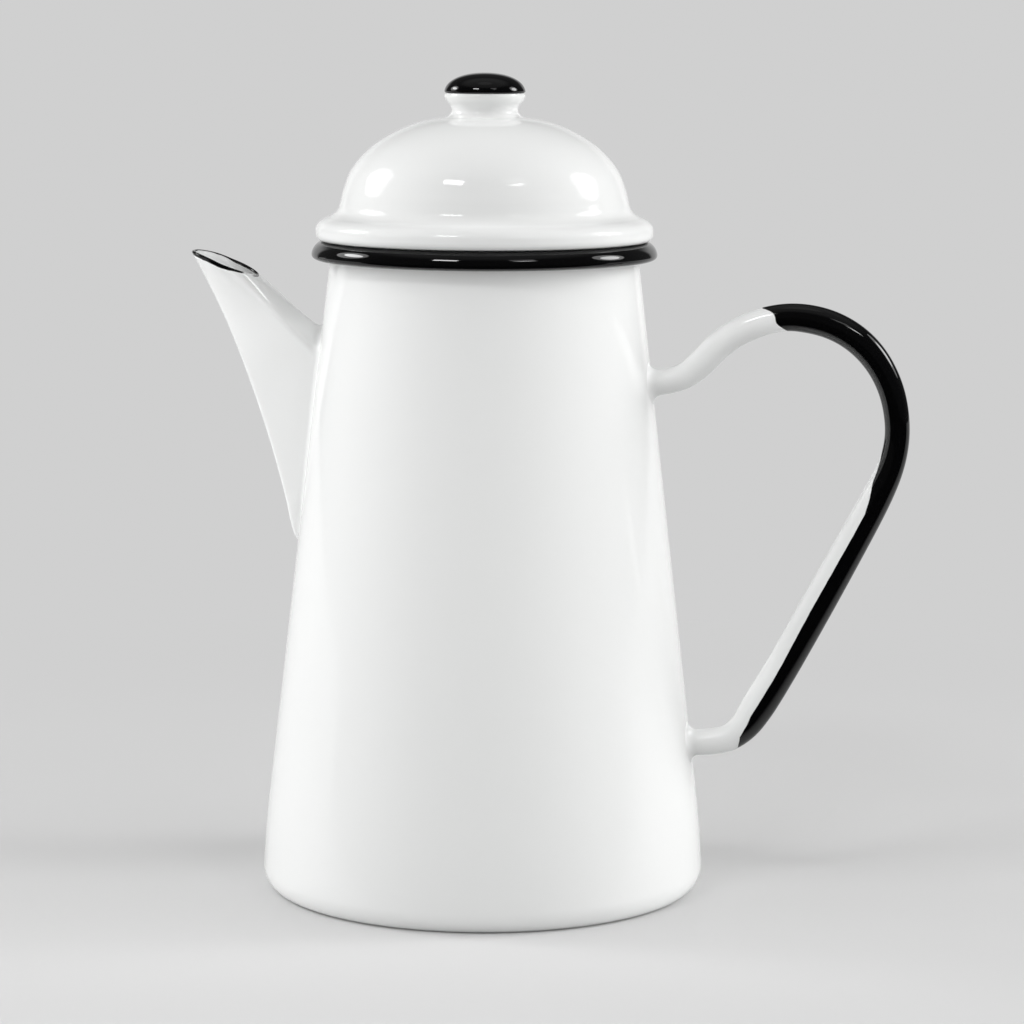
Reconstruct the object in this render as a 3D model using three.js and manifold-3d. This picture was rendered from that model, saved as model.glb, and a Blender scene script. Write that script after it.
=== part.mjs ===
// Enamelled steel coffee pot with a lift-off domed lid, a wide beak spout and a bent tube handle.
// Millimetres, +Z up. The origin is the centre of the base, the spout points to -X and the handle to +X.
import * as THREE from 'three';
import { mergeVertices } from 'three/addons/utils/BufferGeometryUtils.js';
import Module from 'manifold-3d';

const wasm = await Module();
wasm.setup();

// Driving dimensions of the body
const rimHeight = 180.3;           // level of the rim bead's widest ring
const baseRadius = 62.6;           // widest radius, just above the floor
const widestHeight = 6.0;          // level of that widest radius
const cornerReach = 4.4;           // how far the rounded corner of the bottom runs inwards
const coneFootInset = 2.0;         // how far the straight cone begins inside the widest radius
const coneFootHeight = 29.4;
const mouthRadius = 43.1;          // outer radius of the wall at the rim
const bodyWall = 1.2;              // steel with enamel on both sides
const panHeight = 9.0;             // top edge of the base pan's upstand
const seatGap = 0.3;               // clearance between pieces that are joined
const cutOverrun = 3.0;            // how far a cutting solid passes through

// Rolled rim bead and the wire inside it
const beadReach = 48.45;           // outermost radius of the bead
const beadRise = 3.3;              // bead above its widest ring
const beadDrop = 1.6;              // bead below its widest ring
const beadSheet = 0.9;             // rolled sheet with enamel
const beadSlot = 0.6;              // slot between the rolled edge and the wall
const beadSkirt = 1.7;             // bead's own stretch of wall below its widest ring
const rimWireRadius = 1.05;

// Spout
const spoutTipReach = 84.0;        // distance of the tip from the axis, level with the rim
const spoutHeelReach = 64.5;       // back edge of the spout's mouth
const spoutHeelDrop = 8.1;         // that edge below the rim
const spoutFootDrop = 84.3;        // where the keel meets the body, below the rim
const spoutRoofDrop = 22.9;        // where the roof meets the body, below the rim
const spoutHalfWidth = 12.4;
const spoutWall = 1.1;

// Strainer punched in the body wall behind the spout
const strainerHoleRadius = 2.1;
const strainerPitch = 7.6;
const strainerTopDrop = 30.3;      // top row of holes below the rim
const strainerRows = 5;

// Handle
const handleReach = 115.9;         // outermost reach of the tube's centre line
const handleUpperDrop = 35.9;      // centre of the upper foot below the rim
const handleLowerHeight = 42.6;    // centre of the lower foot on the body
const handleTubeRadius = 4.1;
const handleStubShare = 0.9;       // the tube is drawn in to this share of its radius at both feet
const handleWall = 1.0;
const footFlare = 2.2;             // how far a foot spreads round the tube
const footLength = 3.2;            // how far a foot runs along the tube

// Lid
const lidSheet = 1.2;
const domeRadius = 40.6;           // outer radius of the dome's upright flank
const domeFlankRise = 12.3;        // where the dome meets the brim's hollow, above the rim
const crownRise = 38.1;            // outer top of the lid under the knob, above the rim
const brimReach = 47.3;
const brimHalfHeight = 3.4;
const brimRound = 3.4;             // half width of the brim's roll
const collarRadius = 41.1;         // skirt that sits in the mouth
const collarDepth = 13.0;          // skirt below the bead's top
const collarSheet = 1.0;

// Knob
const knobCapRadius = 11.35;
const knobCapHeight = 5.7;
const knobNeckHeight = 5.7;
const knobFootRadius = 10.2;
const knobWaistRadius = 9.25;
const knobSheet = 1.0;
const rivetRadius = 2.0;
const rivetClearance = 0.3;
const rivetHeadRadius = 3.6;
const rivetHeadHeight = 1.3;
const washerRadius = 6.0;
const washerThickness = 0.9;

// Faceting
const turnSteps = 48;
const arcSteps = 4;
const loftSteps = 24;
const holeSteps = 10;
const pathSteps = 50;

const whiteEnamel = new THREE.MeshStandardMaterial({ color: 0xf1f2f0, roughness: 0.12, metalness: 0 });
const blackEnamel = new THREE.MeshStandardMaterial({ color: 0x0b0b0d, roughness: 0.1, metalness: 0 });
const bareSteel = new THREE.MeshStandardMaterial({ color: 0x9a9c9e, roughness: 0.4, metalness: 1 });

const vec = (x, y) => new THREE.Vector2(x, y);
const lerp = THREE.MathUtils.lerp;

// Sizes that follow the body's
const coneFootRadius = baseRadius - coneFootInset;
const floorRadius = baseRadius - cornerReach;
const spoutTipHeight = rimHeight;
const spoutHeelHeight = rimHeight - spoutHeelDrop;
const spoutFootHeight = rimHeight - spoutFootDrop;
const spoutRoofHeight = rimHeight - spoutRoofDrop;
const strainerTopHeight = rimHeight - strainerTopDrop;
const handleUpperHeight = rimHeight - handleUpperDrop;
const domeFlankHeight = rimHeight + domeFlankRise;
const crownHeight = rimHeight + crownRise;

// Outer radius of the body at a height: a straight cone that rounds to upright near the floor.
const coneTaper = (coneFootRadius - mouthRadius) / (rimHeight - coneFootHeight);
const roundSpan = coneFootHeight - widestHeight;
const roundPower = (coneTaper * roundSpan) / coneFootInset;
function bodyRadius(z) {
  if (z >= coneFootHeight) return coneFootRadius - coneTaper * (z - coneFootHeight);
  const share = Math.max(z - widestHeight, 0) / roundSpan;
  return baseRadius - coneFootInset * share ** roundPower;
}

// Points of an elliptical arc in a profile, from one angle to another in degrees.
function arc(r, z, acrossRadius, upRadius, from, to, steps = arcSteps) {
  const points = [];
  for (let i = 0; i <= steps; i += 1) {
    const angle = THREE.MathUtils.degToRad(lerp(from, to, i / steps));
    points.push(vec(r + acrossRadius * Math.cos(angle), z + upRadius * Math.sin(angle)));
  }
  return points;
}

// Outline of the body wall between two heights, moved inwards by an inset.
function wallLine(from, to, inset) {
  const levels = [from];
  const rounds = arcSteps / 2;
  for (let i = 0; i <= rounds; i += 1) {
    const level = lerp(widestHeight, coneFootHeight, i / rounds);
    if (level > from && level < to) levels.push(level);
  }
  levels.push(to);
  return levels.map((z) => vec(bodyRadius(z) - inset, z));
}

// Solid of revolution about Z from a closed profile given anticlockwise in radius and height.
function turned(profile, steps = turnSteps) {
  const lathe = new THREE.LatheGeometry([...profile, profile[0]], steps);
  return closed(lathe.rotateX(Math.PI / 2));
}

// Geometry with its shared vertices merged and its faces pointing out.
function closed(source) {
  source.deleteAttribute('normal');
  source.deleteAttribute('uv');
  const geometry = mergeVertices(source);
  const place = geometry.attributes.position;
  const index = geometry.index.array;
  const kept = [];
  const corners = [new THREE.Vector3(), new THREE.Vector3(), new THREE.Vector3()];
  let volume = 0;
  for (let i = 0; i < index.length; i += 3) {
    const [a, b, c] = index.subarray(i, i + 3);
    if (a === b || b === c || c === a) continue;
    kept.push(a, b, c);
    corners[0].fromBufferAttribute(place, a);
    corners[1].fromBufferAttribute(place, b);
    corners[2].fromBufferAttribute(place, c);
    volume += corners[0].dot(corners[1].cross(corners[2]));
  }
  geometry.setIndex(volume < 0 ? kept.reverse() : kept);
  return geometry;
}

function toSolid(geometry) {
  const vertProperties = new Float32Array(geometry.attributes.position.array);
  const triVerts = new Uint32Array(geometry.index.array);
  return new wasm.Manifold(new wasm.Mesh({ numProp: 3, vertProperties, triVerts }));
}

function toGeometry(solid) {
  const mesh = solid.getMesh();
  const geometry = new THREE.BufferGeometry();
  geometry.setAttribute('position', new THREE.BufferAttribute(mesh.vertProperties, 3));
  geometry.setIndex(new THREE.BufferAttribute(mesh.triVerts, 1));
  geometry.computeVertexNormals();
  return geometry;
}

// Solid skinned over a row of rings with equal point counts, with a flat fan at each end.
function lofted(rings) {
  const count = rings[0].length;
  const points = rings.flat();
  const index = [];
  for (let row = 0; row < rings.length - 1; row += 1) {
    for (let i = 0; i < count; i += 1) {
      const a = row * count + i;
      const b = row * count + ((i + 1) % count);
      index.push(a, b, b + count, a, b + count, a + count);
    }
  }
  const last = (rings.length - 1) * count;
  for (let i = 1; i < count - 1; i += 1) {
    index.push(0, i + 1, i);
    index.push(last, last + i, last + i + 1);
  }
  const geometry = new THREE.BufferGeometry().setFromPoints(points);
  geometry.setIndex(index);
  return closed(geometry);
}

// Everything inside the body's outer surface, grown by a gap, as a cutter for what is joined to it.
function bodyEnvelope(gap) {
  const top = rimHeight + cutOverrun;
  const line = wallLine(-cutOverrun, top, -gap);
  return toSolid(turned([vec(0, -cutOverrun), ...line, vec(0, top)]));
}

function piece(name, geometry, material) {
  const mesh = new THREE.Mesh(geometry, material);
  mesh.name = name;
  return mesh;
}

// Strainer holes in staggered rows, drilled along X through the wall that faces the spout.
function strainerDrills() {
  const drillReach = bodyRadius(0);
  const drill = new THREE.CylinderGeometry(strainerHoleRadius, strainerHoleRadius, drillReach, holeSteps);
  drill.rotateZ(Math.PI / 2);
  const rowStep = strainerPitch * Math.sin(Math.PI / 3);
  const drills = [];
  for (let row = 0; row < strainerRows; row += 1) {
    const count = row % 2 === 0 ? 3 : 2;
    for (let i = 0; i < count; i += 1) {
      const across = (i - (count - 1) / 2) * strainerPitch;
      const up = strainerTopHeight - row * rowStep;
      drills.push(toSolid(closed(drill.clone().translate(-drillReach, across, up))));
    }
  }
  return drills;
}

function bodyShell() {
  const foot = panHeight + seatGap;
  const top = rimHeight - beadSkirt - seatGap;
  const outer = wallLine(foot, top, 0);
  const inner = wallLine(foot, top, bodyWall).reverse();
  let shell = toSolid(turned([...outer, ...inner]));
  for (const drill of strainerDrills()) shell = shell.subtract(drill);
  return toGeometry(shell);
}

// Pressed bottom with a rounded corner and a short upstand that the wall is welded to.
function basePan() {
  const outerCorner = arc(floorRadius, widestHeight, cornerReach, widestHeight, -90, 0);
  const innerAcross = cornerReach - bodyWall;
  const innerUp = widestHeight - bodyWall;
  const innerCorner = arc(floorRadius, widestHeight, innerAcross, innerUp, 0, -90);
  return turned([
    vec(0, 0),
    ...outerCorner,
    vec(bodyRadius(panHeight), panHeight),
    vec(bodyRadius(panHeight) - bodyWall, panHeight),
    ...innerCorner,
    vec(0, bodyWall),
  ]);
}

// The wall's top edge rolled outwards over a wire, down and back towards the wall.
const beadInner = mouthRadius - bodyWall;
const beadOverhang = 0.5 * (beadReach - beadInner);
const beadCentre = beadInner + beadOverhang;
function rimBead() {
  const skirtFoot = rimHeight - beadSkirt;
  const hollowAcross = beadOverhang - beadSheet;
  const hollowInner = beadInner + bodyWall;
  const edge = hollowInner + beadSlot;
  return turned([
    vec(beadInner, skirtFoot),
    vec(hollowInner, skirtFoot),
    vec(hollowInner, rimHeight),
    ...arc(beadCentre, rimHeight, hollowAcross, beadRise - beadSheet, 150, 0),
    ...arc(beadCentre, rimHeight, hollowAcross, beadDrop - beadSheet, 0, -90).slice(1),
    vec(edge, rimHeight - beadDrop + beadSheet),
    vec(edge, rimHeight - beadDrop),
    ...arc(beadCentre, rimHeight, beadOverhang, beadDrop, -90, 0),
    ...arc(beadCentre, rimHeight, beadOverhang, beadRise, 0, 180).slice(1),
  ]);
}

function rimWire() {
  const middle = rimHeight + 0.5 * (beadRise - beadDrop);
  const ring = new THREE.TorusGeometry(beadCentre, rimWireRadius, 2 * arcSteps, turnSteps);
  return closed(ring.translate(0, 0, middle));
}

// Spout rings from past the mouth to inside the body. Each share runs from 1 at the mouth's tip or
// heel to 0 at the keel's foot or the roof's root on the body, and below 0 inside the body.
const keelReachShares = [1.05, 1, 0.72, 0.489, 0.3, 0.146, 0.091, 0.024, -0.17];
const keelHeightShares = [1.04, 1, 0.783, 0.581, 0.38, 0.173, 0.077, 0.017, -0.014];
const roofShares = [1.15, 1, 0.5, 0.05, -0.35, -0.55, -0.62, -0.7, -0.75];
const ringWidthShares = [0.86, 0.87, 0.96, 1, 0.98, 0.88, 0.76, 0.6, 0.45];
function spoutRings(wall) {
  const footReach = bodyRadius(spoutFootHeight);
  const rootReach = bodyRadius(spoutRoofHeight);
  const keelSlant = 1.1 * wall;
  const roofSlant = 1.25 * wall;
  return keelReachShares.map((share, i) => {
    const keelReach = lerp(footReach, spoutTipReach, share) - keelSlant;
    const keelHeight = lerp(spoutFootHeight, spoutTipHeight, keelHeightShares[i]);
    const roofReach = lerp(rootReach, spoutHeelReach, roofShares[i]) + roofSlant;
    const roofHeight = lerp(spoutRoofHeight, spoutHeelHeight, roofShares[i]);
    const keel = new THREE.Vector3(-keelReach, 0, keelHeight);
    const roof = new THREE.Vector3(-roofReach, 0, roofHeight);
    const halfWidth = spoutHalfWidth * ringWidthShares[i] - wall;
    const middle = keel.clone().add(roof).multiplyScalar(0.5);
    const half = keel.clone().sub(roof).multiplyScalar(0.5);
    const ring = [];
    for (let k = 0; k < loftSteps; k += 1) {
      const angle = (2 * Math.PI * k) / loftSteps;
      const point = middle.clone().addScaledVector(half, Math.cos(angle));
      point.y = halfWidth * Math.sin(angle);
      ring.push(point);
    }
    return ring;
  });
}

// Everything above the spout's sloping mouth, as a cutter.
function mouthCutter() {
  const run = spoutTipReach - spoutHeelReach;
  const slope = Math.atan2(spoutTipHeight - spoutHeelHeight, run);
  const side = 2 * spoutTipReach;
  const block = new THREE.BoxGeometry(side, side, spoutHeelReach);
  block.translate(0, 0, 0.5 * spoutHeelReach);
  block.rotateY(slope);
  block.translate(-spoutHeelReach, 0, spoutHeelHeight);
  return toSolid(closed(block));
}

function spoutShell() {
  const outer = toSolid(lofted(spoutRings(0)));
  const bore = toSolid(lofted(spoutRings(spoutWall)));
  return toGeometry(outer.subtract(bore).subtract(mouthCutter()).subtract(bodyEnvelope(seatGap)));
}

// Centre line of the handle. Out is 0 on the body wall and 1 at the handle's reach, up is 0 at the
// lower foot and 1 at the upper foot, and swell is the tube's half depth against its nominal radius.
const handleOutShares = [
  -0.06, 0.05, 0.114, 0.172, 0.265, 0.37, 0.489, 0.611, 0.73, 0.835, 0.92, 0.978, 1, 0.998,
  0.981, 0.952, 0.912, 0.856, 0.652, 0.418, 0.333, 0.283, 0.225, 0.166, 0.06, -0.06,
];
const handleUpShares = [
  0.994, 1.005, 1.014, 1.036, 1.1, 1.152, 1.181, 1.188, 1.17, 1.129, 1.068, 0.993, 0.909, 0.85,
  0.802, 0.747, 0.691, 0.623, 0.396, 0.164, 0.087, 0.05, 0.023, 0.01, 0.001, -0.002,
];
const handleSwellShares = [
  handleStubShare, 0.9, 0.9, 0.91, 0.96, 0.975, 0.97, 0.965, 0.97, 0.965, 0.95, 0.89, 0.86, 0.88,
  0.94, 0.99, 1.06, 1.12, 1.13, 1.13, 1.08, 1, 0.96, 0.92, 0.9, handleStubShare,
];
function handleLine() {
  const points = handleOutShares.map((out, i) => {
    const z = lerp(handleLowerHeight, handleUpperHeight, handleUpShares[i]);
    return new THREE.Vector3(lerp(bodyRadius(z), handleReach, out), 0, z);
  });
  return new THREE.CatmullRomCurve3(points, false, 'centripetal');
}

// Rings of the tube along its centre line, inset by a wall and run on past both ends.
function handleRings(inset, overrun) {
  const curve = handleLine();
  const last = handleSwellShares.length - 1;
  const rings = [];
  for (let row = 0; row <= pathSteps; row += 1) {
    const share = row / pathSteps;
    const centre = curve.getPoint(share);
    const along = curve.getTangent(share);
    if (row === 0) centre.addScaledVector(along, -overrun);
    if (row === pathSteps) centre.addScaledVector(along, overrun);
    const slot = Math.min(Math.floor(share * last), last - 1);
    const swell = lerp(handleSwellShares[slot], handleSwellShares[slot + 1], share * last - slot);
    const depth = handleTubeRadius * swell - inset;
    const breadth = handleTubeRadius * Math.min(swell, 1) - inset;
    const outwards = new THREE.Vector3(along.z, 0, -along.x);
    const ring = [];
    for (let k = 0; k < holeSteps; k += 1) {
      const angle = (2 * Math.PI * k) / holeSteps;
      const point = centre.clone().addScaledVector(outwards, depth * Math.cos(angle));
      point.y = breadth * Math.sin(angle);
      ring.push(point);
    }
    rings.push(ring);
  }
  return rings;
}

function handleTube() {
  const outer = toSolid(lofted(handleRings(0, 0)));
  const bore = toSolid(lofted(handleRings(handleWall, cutOverrun)));
  return toGeometry(outer.subtract(bore).subtract(bodyEnvelope(seatGap)));
}

// Flared foot that joins one end of the handle's tube to the body wall.
function handleFoot(share) {
  const curve = handleLine();
  const along = curve.getTangent(share).multiplyScalar(share < 0.5 ? 1 : -1);
  const height = share < 0.5 ? handleUpperHeight : handleLowerHeight;
  const bore = handleTubeRadius * handleStubShare + seatGap;
  const spread = bore + footFlare;
  const lip = 0.2 * footFlare;
  const profile = [
    vec(bore, -footLength),
    vec(spread, -footLength),
    vec(spread, 0),
    ...arc(spread, footLength, footFlare - lip, footLength, -90, -180).slice(1),
    vec(bore, footLength),
  ];
  const flare = turned(profile, loftSteps);
  flare.applyQuaternion(new THREE.Quaternion().setFromUnitVectors(new THREE.Vector3(0, 0, 1), along));
  flare.translate(bodyRadius(height), 0, height);
  return toGeometry(toSolid(flare).subtract(bodyEnvelope(seatGap)));
}

// Dome, hollow and rolled brim of the lid, as one sheet offset by its thickness.
const brimCentre = brimReach - brimRound;
const brimHeight = rimHeight + beadRise + seatGap + brimHalfHeight;
const domeShares = [[0.45, 0.935], [0.63, 0.815], [0.79, 0.648], [0.915, 0.425], [0.974, 0.2]];
function lidLine(inset) {
  const rise = crownHeight - domeFlankHeight - inset;
  const reach = domeRadius - inset;
  const flank = domeShares.map(([out, up]) => vec(reach * out, domeFlankHeight + rise * up));
  const hole = rivetRadius + rivetClearance;
  return [
    vec(hole, crownHeight - inset),
    vec(0.25 * reach, crownHeight - inset),
    ...flank,
    vec(reach, domeFlankHeight),
    ...arc(brimCentre, brimHeight, brimRound - inset, brimHalfHeight - inset, 110, -90, 2 * arcSteps),
    vec(brimCentre - inset, brimHeight - brimHalfHeight + inset),
  ];
}

function lidDome() {
  return turned([...lidLine(lidSheet), ...lidLine(0).reverse()]);
}

// Skirt that centres the lid in the mouth, welded inside the dome's flank.
function lidCollar() {
  const neck = domeRadius - lidSheet - seatGap;
  const top = domeFlankHeight;
  const shoulder = brimHeight + seatGap;
  const bend = rimHeight + beadRise;
  const foot = bend - collarDepth;
  return turned([
    vec(neck, top),
    vec(neck, shoulder),
    vec(collarRadius, bend),
    vec(collarRadius - seatGap, foot),
    vec(collarRadius - seatGap - collarSheet, foot),
    vec(collarRadius - collarSheet, bend),
    vec(neck - collarSheet, shoulder),
    vec(neck - collarSheet, top),
  ].reverse());
}

// Waisted neck of the knob with a web that the rivet clamps.
const neckFoot = crownHeight + seatGap;
function knobNeck() {
  const top = neckFoot + knobNeckHeight;
  const web = neckFoot + knobSheet;
  const hole = rivetRadius + rivetClearance;
  const rimRadius = knobCapRadius - 0.1 * knobSheet;
  const level = (share) => neckFoot + knobNeckHeight * share;
  const bulge = (share) => lerp(knobWaistRadius, rimRadius, share);
  return turned([
    vec(hole, neckFoot),
    vec(knobFootRadius, neckFoot),
    vec(lerp(knobWaistRadius, knobFootRadius, 0.35), level(0.1)),
    vec(knobWaistRadius, level(0.27)),
    vec(bulge(0.17), level(0.44)),
    vec(bulge(0.55), level(0.6)),
    vec(bulge(0.84), level(0.79)),
    vec(rimRadius, top),
    vec(rimRadius - knobSheet, top),
    vec(bulge(0.55) - knobSheet, level(0.6)),
    vec(knobWaistRadius - knobSheet, level(0.27)),
    vec(knobWaistRadius - knobSheet, web),
    vec(hole, web),
  ], loftSteps);
}

function knobCap() {
  const foot = neckFoot + knobNeckHeight + seatGap;
  const outer = arc(0, foot, knobCapRadius, knobCapHeight, 0, 90, 2 * arcSteps);
  const inner = arc(0, foot, knobCapRadius - knobSheet, knobCapHeight - knobSheet, 90, 0);
  return turned([...outer, ...inner], loftSteps);
}

// Rivet through the crown, with a washer under it. Its heads keep the seat gap to what they clamp.
function knobRivet() {
  const head = neckFoot + knobSheet + seatGap;
  const tail = crownHeight - lidSheet - washerThickness - 2 * seatGap;
  return turned([
    vec(0, tail - rivetHeadHeight),
    vec(rivetHeadRadius, tail - rivetHeadHeight),
    vec(rivetHeadRadius, tail),
    vec(rivetRadius, tail),
    vec(rivetRadius, head),
    vec(rivetHeadRadius, head),
    vec(rivetHeadRadius, head + rivetHeadHeight),
    vec(0, head + rivetHeadHeight),
  ], loftSteps);
}

function knobWasher() {
  const top = crownHeight - lidSheet - seatGap;
  const hole = rivetRadius + rivetClearance;
  return turned([
    vec(hole, top - washerThickness),
    vec(washerRadius, top - washerThickness),
    vec(washerRadius, top),
    vec(hole, top),
  ], loftSteps);
}

const pot = new THREE.Group();
pot.add(
  piece('body_shell', bodyShell(), whiteEnamel),
  piece('base_pan', basePan(), whiteEnamel),
  piece('rim_bead', rimBead(), blackEnamel),
  piece('rim_wire', rimWire(), bareSteel),
  piece('spout_shell', spoutShell(), whiteEnamel),
  piece('handle_tube', handleTube(), blackEnamel),
  piece('handle_upper_foot', handleFoot(0), whiteEnamel),
  piece('handle_lower_foot', handleFoot(1), whiteEnamel),
);

const lid = new THREE.Group();
lid.add(
  piece('lid_dome', lidDome(), whiteEnamel),
  piece('lid_collar', lidCollar(), whiteEnamel),
  piece('knob_neck', knobNeck(), whiteEnamel),
  piece('knob_cap', knobCap(), blackEnamel),
  piece('knob_rivet', knobRivet(), bareSteel),
  piece('knob_washer', knobWasher(), bareSteel),
);

const coffeePot = new THREE.Group();
coffeePot.add(pot, lid);

export default coffeePot;
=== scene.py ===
"""Looks of a coffee pot in white and black vitreous enamel, with its floor, lamps and camera.

Lengths are in metres, +Z is up, the spout points to -X and the handle to +X.
"""
import logging
import math
from dataclasses import dataclass
from enum import Enum
from typing import Callable, NamedTuple

import bmesh
import bpy
from bpy.types import Material, Node, NodeSocket, Object, World
from mathutils import Matrix, Vector
from mathutils.kdtree import KDTree


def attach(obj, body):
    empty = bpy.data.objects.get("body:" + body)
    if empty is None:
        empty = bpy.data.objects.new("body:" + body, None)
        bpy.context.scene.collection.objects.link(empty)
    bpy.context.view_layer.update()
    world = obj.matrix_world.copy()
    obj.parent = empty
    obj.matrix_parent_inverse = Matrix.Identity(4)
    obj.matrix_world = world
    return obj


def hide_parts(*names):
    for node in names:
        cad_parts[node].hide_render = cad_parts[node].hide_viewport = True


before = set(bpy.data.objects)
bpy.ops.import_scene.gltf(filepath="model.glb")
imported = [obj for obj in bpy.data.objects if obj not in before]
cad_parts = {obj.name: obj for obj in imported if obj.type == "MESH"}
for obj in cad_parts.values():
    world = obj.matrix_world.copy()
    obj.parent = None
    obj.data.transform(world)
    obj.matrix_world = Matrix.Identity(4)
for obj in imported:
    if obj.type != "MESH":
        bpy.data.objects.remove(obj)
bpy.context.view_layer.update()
LOG = logging.getLogger("coffee_pot")
Pair = tuple[float, float]
Colour = tuple[float, float, float, float]
Line = list[Vector]


class Slot(Enum):
    """Material slots of the record."""

    WHITE = "enamel_white"
    BLACK = "enamel_black"
    STEEL = "steel_wire"


def operator(operation: str) -> Callable[..., "Value"]:
    """A method that adds a Math node, with the value first and the other operand second."""
    return lambda value, *others: value.tree.math(operation, value, *others)


def reflected(operation: str) -> Callable[..., "Value"]:
    """A method that adds a Math node, with the other operand first and the value second."""
    return lambda value, other: value.tree.math(operation, other, value)


class Value:
    """A number that varies over a surface, with Python's operators as Math nodes."""

    __add__ = __radd__ = operator("ADD")
    __sub__ = operator("SUBTRACT")
    __rsub__ = reflected("SUBTRACT")
    __mul__ = __rmul__ = operator("MULTIPLY")
    __truediv__ = operator("DIVIDE")
    __rtruediv__ = reflected("DIVIDE")
    __abs__ = operator("ABSOLUTE")
    least = operator("MINIMUM")
    most = operator("MAXIMUM")

    def __init__(self, tree: "Sheet", socket: NodeSocket) -> None:
        """Wraps an output socket of a node tree."""
        self.tree, self.socket = tree, socket

    def __neg__(self) -> "Value":
        """Changes the sign."""
        return self * -1.0

    def step(self, low: float, high: float) -> "Value":
        """A smooth step from 0 at low to 1 at high."""
        sockets = {"Value": self, "From Min": low, "From Max": high}
        return self.tree.value("ShaderNodeMapRange", sockets, "Result", interpolation_type="SMOOTHSTEP")


class Sheet:
    """A node tree whose nodes are added by type and linked by value."""

    def __init__(self, owner: Material | World) -> None:
        """Switches on the nodes of a material or world."""
        owner.use_nodes = True
        self.nodes, self.links = owner.node_tree.nodes, owner.node_tree.links

    def add(self, kind: str, sockets: dict, **settings: object) -> Node:
        """Adds a node.

        Args:
            kind: Blender's type of the node.
            sockets: Input socket to a number, vector, colour, Value or output socket.
            **settings: The node's own properties, set first.

        Returns:
            The node.
        """
        node = self.nodes.new(kind)
        for key, setting in settings.items():
            setattr(node, key, setting)
        self.feed(node, sockets)
        return node

    def feed(self, node: Node, sockets: dict) -> None:
        """Sets or links inputs of a node.

        Args:
            node: The node.
            sockets: Input socket to a number, vector, colour, Value or output socket.
        """
        for key, given in sockets.items():
            source = given.socket if isinstance(given, Value) else given
            if isinstance(source, NodeSocket):
                self.links.new(source, node.inputs[key])
            else:
                node.inputs[key].default_value = source

    def take(self, node: Node, *outputs: str) -> tuple[Value, ...]:
        """Some outputs of a node, as Values."""
        return tuple(Value(self, node.outputs[output]) for output in outputs)

    def value(self, kind: str, sockets: dict, output: str, **settings: object) -> Value:
        """Adds a node and takes one of its outputs."""
        return self.take(self.add(kind, sockets, **settings), output)[0]

    def math(self, operation: str, *operands: Value | float) -> Value:
        """Adds a Math node."""
        return self.value("ShaderNodeMath", dict(enumerate(operands)), "Value", operation=operation)

    def split(self, vector: NodeSocket) -> tuple[Value, ...]:
        """The three numbers of a vector."""
        return self.take(self.add("ShaderNodeSeparateXYZ", {"Vector": vector}), "X", "Y", "Z")

    def rays(self) -> tuple[Value, ...]:
        """Whether a ray comes from the camera, from gloss or from behind glass."""
        path = self.add("ShaderNodeLightPath", {})
        return self.take(path, "Is Camera Ray", "Is Glossy Ray", "Is Transmission Ray")


class FinishTree(Sheet):
    """The nodes of one material round its Principled BSDF."""

    def __init__(self, name: str) -> None:
        """Makes the material.

        Args:
            name: Name of the material.
        """
        self.material = bpy.data.materials.new(name)
        super().__init__(self.material)
        self.surface = self.nodes["Principled BSDF"]

    def dress(self, sockets: dict) -> Material:
        """Feeds the surface's inputs and returns the material."""
        self.feed(self.surface, sockets)
        return self.material

    def place(self) -> NodeSocket:
        """The object's own coordinates, in metres."""
        return self.add("ShaderNodeTexCoord", {}).outputs["Object"]

    def attribute(self, name: str) -> Value:
        """A number that the piece's mesh carries on its points."""
        settings = {"attribute_type": "GEOMETRY", "attribute_name": name}
        return self.value("ShaderNodeAttribute", {}, "Fac", **settings)

    def noise(self, size: float, detail: float = 2.0, seed: float = 0.0) -> Value:
        """Soft noise from about -0.5 to 0.5, with blotches of a size in metres and finer layers."""
        sockets = {"Vector": self.place(), "W": seed, "Scale": 1.0 / size, "Detail": detail}
        return self.value("ShaderNodeTexNoise", sockets, "Fac", noise_dimensions="4D") - 0.5

    def mix(self, factor: Value, first: object, second: object) -> NodeSocket:
        """A colour between two."""
        node = self.add("ShaderNodeMix", {0: factor, 6: first, 7: second}, data_type="RGBA")
        return node.outputs[2]


@dataclass(frozen=True)
class Coat:
    """Colour of fired glass, where its clouds are lightest and where they are darkest."""

    colour: Colour
    shade: Colour
    roughness: float


def white_coat(light: float, dark: float, green: float = 0.006, roughness: float = 0.045) -> Coat:
    """A white of two greys, each with a trace of green."""
    return Coat((light, light + green, light, 1.0), (dark, dark + 0.007, dark + 0.002, 1.0), roughness)


BODY_WHITE = white_coat(0.80, 0.785)
# Painted shade: the lid's white is a greyer copy of the body's, so dome, collar and knob neck render darker.
SHADED_LID_WHITE = white_coat(0.765, 0.75)
# Painted light: spout and handle take a paler copy of the body's white.
LIT_SPOUT_WHITE = LIT_HANDLE_WHITE = white_coat(0.85, 0.84)
# Painted light: a near-white for the spout's roof, as though lit from above.
LIT_ROOF_WHITE = white_coat(0.965, 0.955, 0.005)
# Painted light: a near-white for the spout's bore, brighter inside than the enamel's own white.
LIT_BORE_WHITE = white_coat(0.95, 0.94, 0.005, 0.06)
# Painted light: a paler white for the handle's upper side near its feet.
LIT_STUB_WHITE = white_coat(0.95, 0.94)
# Painted shade: a darker white for the handle's underside near its feet.
SHADED_UNDER_WHITE = white_coat(0.64, 0.63)
BLACK_COAT = Coat((0.0012, 0.0012, 0.0014, 1.0), (0.002, 0.002, 0.0022, 1.0), 0.04)


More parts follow.
